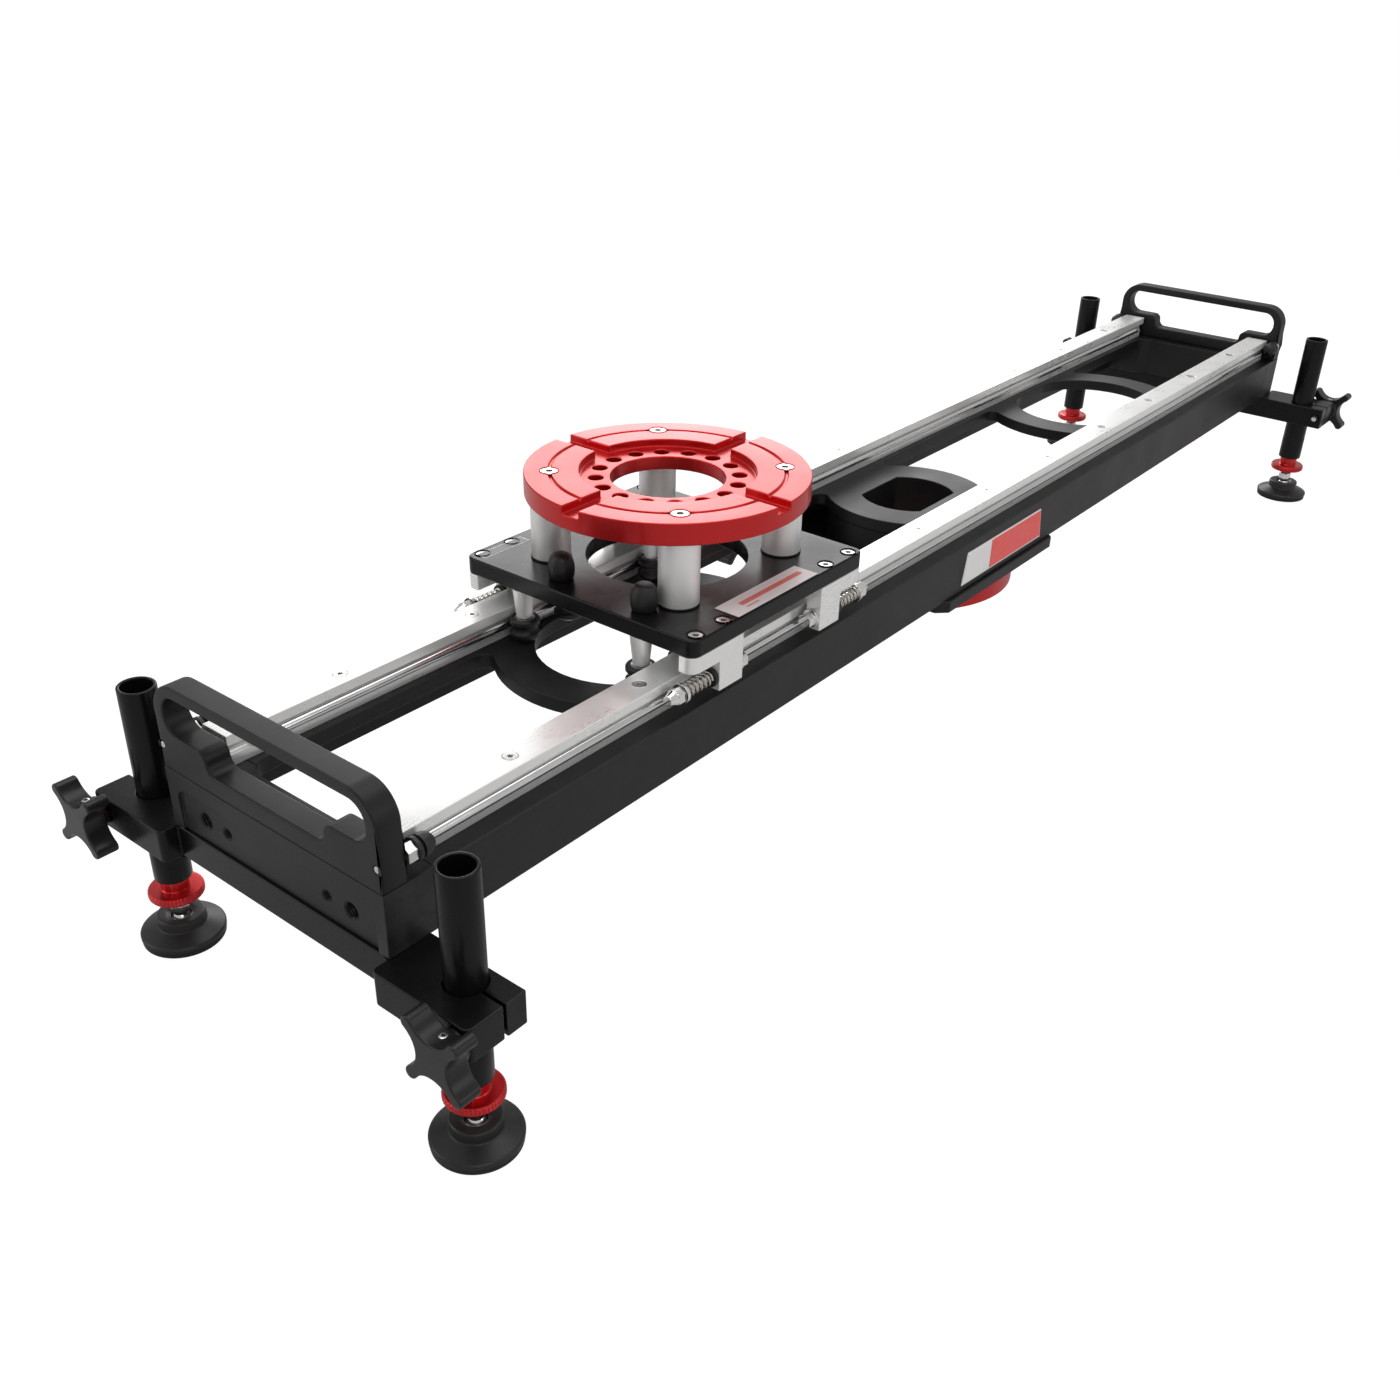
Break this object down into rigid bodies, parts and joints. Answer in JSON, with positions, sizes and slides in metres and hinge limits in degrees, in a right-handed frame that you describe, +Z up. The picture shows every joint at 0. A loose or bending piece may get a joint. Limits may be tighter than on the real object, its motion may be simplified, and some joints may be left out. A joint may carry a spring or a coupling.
{
  "type": "camera slider",
  "caption": "Camera slider: channel deck with hand holes on clamped adjustable legs, twin rails, and a grooved-roller carriage carrying a round camera mount.",
  "frame": {"origin": "on the floor under the middle of the deck", "axes": "+X along the travel towards the far end, +Y towards the rear rail, +Z up"},
  "size_m": [1.3008, 0.3328, 0.2476],
  "materials": {
    "black_anodised": "satin black anodised",
    "clear_anodised": "satin clear anodised",
    "red_anodised": "red anodised",
    "ground_steel": "ground and polished",
    "steel_screws": "bright steel",
    "chrome": "chromed",
    "spring_steel": "bright spring steel",
    "black_rubber": "dull black",
    "black_foot": "semi-gloss black with a rubber sole",
    "black_plastic": "black knob plastic",
    "badge_red": "red and silver plaque",
    "label_grey": "pale grey label"
  },
  "bodies": {
    "frame": {"deck": "black_anodised", "deck_walls": "black_anodised", "end_block_left": "black_anodised", "end_block_right": "black_anodised", "handle_left": "black_anodised", "handle_right": "black_anodised", "rail_front": "clear_anodised", "rail_rear": "clear_anodised", "guide_rods": "ground_steel", "end_bumpers": "black_rubber", "bumper_studs": "steel_screws", "outrigger_left": "black_anodised", "outrigger_right": "black_anodised", "base_plate": "black_anodised", "frame_screws": "steel_screws", "lower_mount": "red_anodised", "side_badge": "badge_red"},
    "lock": {"lock_knob": "black_plastic"},
    "carriage": {"carriage_plate": "black_anodised", "bracket_blocks": "clear_anodised", "riser_posts": "clear_anodised", "top_mount": "red_anodised", "carriage_screws": "steel_screws", "rest_domes": "black_rubber", "label_plate": "label_grey", "roller_spacers": "clear_anodised", "roller_bolts": "steel_screws", "buffer_springs": "spring_steel"},
    "wheel_1": {"roller_1": "black_rubber"},
    "wheel_2": {"roller_2": "black_rubber"},
    "wheel_3": {"roller_3": "black_rubber"},
    "wheel_4": {"roller_4": "black_rubber"},
    "wheel_5": {"roller_5": "black_rubber"},
    "wheel_6": {"roller_6": "black_rubber"},
    "wheel_7": {"roller_7": "black_rubber"},
    "wheel_8": {"roller_8": "black_rubber"},
    "leg_left_front": {"leg_tube_left_front": "black_anodised"},
    "knob_left_front": {"clamp_knob_left_front": "black_plastic"},
    "nut_left_front": {"levelling_nut_left_front": "red_anodised"},
    "stud_left_front": {"foot_stud_left_front": "chrome"},
    "foot_left_front": {"foot_left_front": "black_foot"},
    "buffer_left_front": {"buffer_bolt_left_front": "steel_screws"},
    "leg_left_rear": {"leg_tube_left_rear": "black_anodised"},
    "knob_left_rear": {"clamp_knob_left_rear": "black_plastic"},
    "nut_left_rear": {"levelling_nut_left_rear": "red_anodised"},
    "stud_left_rear": {"foot_stud_left_rear": "chrome"},
    "foot_left_rear": {"foot_left_rear": "black_foot"},
    "buffer_left_rear": {"buffer_bolt_left_rear": "steel_screws"},
    "leg_right_front": {"leg_tube_right_front": "black_anodised"},
    "knob_right_front": {"clamp_knob_right_front": "black_plastic"},
    "nut_right_front": {"levelling_nut_right_front": "red_anodised"},
    "stud_right_front": {"foot_stud_right_front": "chrome"},
    "foot_right_front": {"foot_right_front": "black_foot"},
    "buffer_right_front": {"buffer_bolt_right_front": "steel_screws"},
    "leg_right_rear": {"leg_tube_right_rear": "black_anodised"},
    "knob_right_rear": {"clamp_knob_right_rear": "black_plastic"},
    "nut_right_rear": {"levelling_nut_right_rear": "red_anodised"},
    "stud_right_rear": {"foot_stud_right_rear": "chrome"},
    "foot_right_rear": {"foot_right_rear": "black_foot"},
    "buffer_right_rear": {"buffer_bolt_right_rear": "steel_screws"}
  },
  "joints": [
    {"name": "carriage_slide", "type": "slide", "parent": "frame", "child": "carriage", "axis": [1, 0, 0], "range_m": [-0.1765, 0.7895]},
    {"name": "lock_turn", "type": "hinge", "parent": "frame", "child": "lock", "pos_m": [-0.082, 0.1, 0.10025], "axis": [0, 1, 0], "range_deg": [-180, 180]},
    {"name": "wheel_1_spin", "type": "hinge", "parent": "carriage", "child": "wheel_1", "pos_m": [-0.3485, -0.0485, 0.153], "axis": [0, 0, 1], "range_deg": [-5700, 1300]},
    {"name": "wheel_2_spin", "type": "hinge", "parent": "carriage", "child": "wheel_2", "pos_m": [-0.3885, -0.0485, 0.153], "axis": [0, 0, 1], "range_deg": [-5700, 1300]},
    {"name": "wheel_3_spin", "type": "hinge", "parent": "carriage", "child": "wheel_3", "pos_m": [-0.3485, 0.0485, 0.153], "axis": [0, 0, 1], "range_deg": [-1300, 5700]},
    {"name": "wheel_4_spin", "type": "hinge", "parent": "carriage", "child": "wheel_4", "pos_m": [-0.3885, 0.0485, 0.153], "axis": [0, 0, 1], "range_deg": [-1300, 5700]},
    {"name": "wheel_5_spin", "type": "hinge", "parent": "carriage", "child": "wheel_5", "pos_m": [-0.2645, -0.0485, 0.153], "axis": [0, 0, 1], "range_deg": [-5700, 1300]},
    {"name": "wheel_6_spin", "type": "hinge", "parent": "carriage", "child": "wheel_6", "pos_m": [-0.2245, -0.0485, 0.153], "axis": [0, 0, 1], "range_deg": [-5700, 1300]},
    {"name": "wheel_7_spin", "type": "hinge", "parent": "carriage", "child": "wheel_7", "pos_m": [-0.2645, 0.0485, 0.153], "axis": [0, 0, 1], "range_deg": [-1300, 5700]},
    {"name": "wheel_8_spin", "type": "hinge", "parent": "carriage", "child": "wheel_8", "pos_m": [-0.2245, 0.0485, 0.153], "axis": [0, 0, 1], "range_deg": [-1300, 5700]},
    {"name": "leg_left_front_slide", "type": "slide", "parent": "frame", "child": "leg_left_front", "axis": [0, 0, 1], "range_m": [-0.055, 0.035]},
    {"name": "knob_left_front_turn", "type": "hinge", "parent": "frame", "child": "knob_left_front", "pos_m": [-0.639, -0.1477, 0.09475], "axis": [-1, 0, 0], "range_deg": [-180, 720]},
    {"name": "nut_left_front_turn", "type": "hinge", "parent": "leg_left_front", "child": "nut_left_front", "pos_m": [-0.609, -0.128, 0.034], "axis": [0, 0, 1], "range_deg": [-1090, 1090]},
    {"name": "stud_left_front_slide", "type": "slide", "parent": "leg_left_front", "child": "stud_left_front", "axis": [0, 0, 1], "range_m": [-0.006, 0.006]},
    {"name": "foot_left_front_tilt", "type": "hinge", "parent": "stud_left_front", "child": "foot_left_front", "pos_m": [-0.609, -0.128, 0.0115], "axis": [0, 1, 0], "range_deg": [-8, 8]},
    {"name": "buffer_left_front_press", "type": "slide", "parent": "carriage", "child": "buffer_left_front", "axis": [1, 0, 0], "range_m": [0, 0.012], "stiffness_N_per_m": 1500, "deforming": ["buffer_springs"]},
    {"name": "leg_left_rear_slide", "type": "slide", "parent": "frame", "child": "leg_left_rear", "axis": [0, 0, 1], "range_m": [-0.055, 0.035]},
    {"name": "knob_left_rear_turn", "type": "hinge", "parent": "frame", "child": "knob_left_rear", "pos_m": [-0.639, 0.1477, 0.09475], "axis": [-1, 0, 0], "range_deg": [-180, 720]},
    {"name": "nut_left_rear_turn", "type": "hinge", "parent": "leg_left_rear", "child": "nut_left_rear", "pos_m": [-0.609, 0.128, 0.034], "axis": [0, 0, 1], "range_deg": [-1090, 1090]},
    {"name": "stud_left_rear_slide", "type": "slide", "parent": "leg_left_rear", "child": "stud_left_rear", "axis": [0, 0, 1], "range_m": [-0.006, 0.006]},
    {"name": "foot_left_rear_tilt", "type": "hinge", "parent": "stud_left_rear", "child": "foot_left_rear", "pos_m": [-0.609, 0.128, 0.0115], "axis": [0, 1, 0], "range_deg": [-8, 8]},
    {"name": "buffer_left_rear_press", "type": "slide", "parent": "carriage", "child": "buffer_left_rear", "axis": [1, 0, 0], "range_m": [0, 0.012], "stiffness_N_per_m": 1500, "deforming": ["buffer_springs"]},
    {"name": "leg_right_front_slide", "type": "slide", "parent": "frame", "child": "leg_right_front", "axis": [0, 0, 1], "range_m": [-0.055, 0.035]},
    {"name": "knob_right_front_turn", "type": "hinge", "parent": "frame", "child": "knob_right_front", "pos_m": [0.639, -0.1477, 0.09475], "axis": [1, 0, 0], "range_deg": [-180, 720]},
    {"name": "nut_right_front_turn", "type": "hinge", "parent": "leg_right_front", "child": "nut_right_front", "pos_m": [0.609, -0.128, 0.034], "axis": [0, 0, 1], "range_deg": [-1090, 1090]},
    {"name": "stud_right_front_slide", "type": "slide", "parent": "leg_right_front", "child": "stud_right_front", "axis": [0, 0, 1], "range_m": [-0.006, 0.006]},
    {"name": "foot_right_front_tilt", "type": "hinge", "parent": "stud_right_front", "child": "foot_right_front", "pos_m": [0.609, -0.128, 0.0115], "axis": [0, 1, 0], "range_deg": [-8, 8]},
    {"name": "buffer_right_front_press", "type": "slide", "parent": "carriage", "child": "buffer_right_front", "axis": [-1, 0, 0], "range_m": [0, 0.012], "stiffness_N_per_m": 1500, "deforming": ["buffer_springs"]},
    {"name": "leg_right_rear_slide", "type": "slide", "parent": "frame", "child": "leg_right_rear", "axis": [0, 0, 1], "range_m": [-0.055, 0.035]},
    {"name": "knob_right_rear_turn", "type": "hinge", "parent": "frame", "child": "knob_right_rear", "pos_m": [0.639, 0.1477, 0.09475], "axis": [1, 0, 0], "range_deg": [-180, 720]},
    {"name": "nut_right_rear_turn", "type": "hinge", "parent": "leg_right_rear", "child": "nut_right_rear", "pos_m": [0.609, 0.128, 0.034], "axis": [0, 0, 1], "range_deg": [-1090, 1090]},
    {"name": "stud_right_rear_slide", "type": "slide", "parent": "leg_right_rear", "child": "stud_right_rear", "axis": [0, 0, 1], "range_m": [-0.006, 0.006]},
    {"name": "foot_right_rear_tilt", "type": "hinge", "parent": "stud_right_rear", "child": "foot_right_rear", "pos_m": [0.609, 0.128, 0.0115], "axis": [0, 1, 0], "range_deg": [-8, 8]},
    {"name": "buffer_right_rear_press", "type": "slide", "parent": "carriage", "child": "buffer_right_rear", "axis": [-1, 0, 0], "range_m": [0, 0.012], "stiffness_N_per_m": 1500, "deforming": ["buffer_springs"]}
  ],
  "couplings": [
    {"joint": "wheel_1_spin", "follows": "carriage_slide", "rad_per_m": -125},
    {"joint": "wheel_2_spin", "follows": "carriage_slide", "rad_per_m": -125},
    {"joint": "wheel_3_spin", "follows": "carriage_slide", "rad_per_m": 125},
    {"joint": "wheel_4_spin", "follows": "carriage_slide", "rad_per_m": 125},
    {"joint": "wheel_5_spin", "follows": "carriage_slide", "rad_per_m": -125},
    {"joint": "wheel_6_spin", "follows": "carriage_slide", "rad_per_m": -125},
    {"joint": "wheel_7_spin", "follows": "carriage_slide", "rad_per_m": 125},
    {"joint": "wheel_8_spin", "follows": "carriage_slide", "rad_per_m": 125},
    {"joint": "nut_left_front_turn", "follows": "stud_left_front_slide", "rad_per_m": 3141.6},
    {"joint": "nut_left_rear_turn", "follows": "stud_left_rear_slide", "rad_per_m": 3141.6},
    {"joint": "nut_right_front_turn", "follows": "stud_right_front_slide", "rad_per_m": 3141.6},
    {"joint": "nut_right_rear_turn", "follows": "stud_right_rear_slide", "rad_per_m": 3141.6}
  ]
}
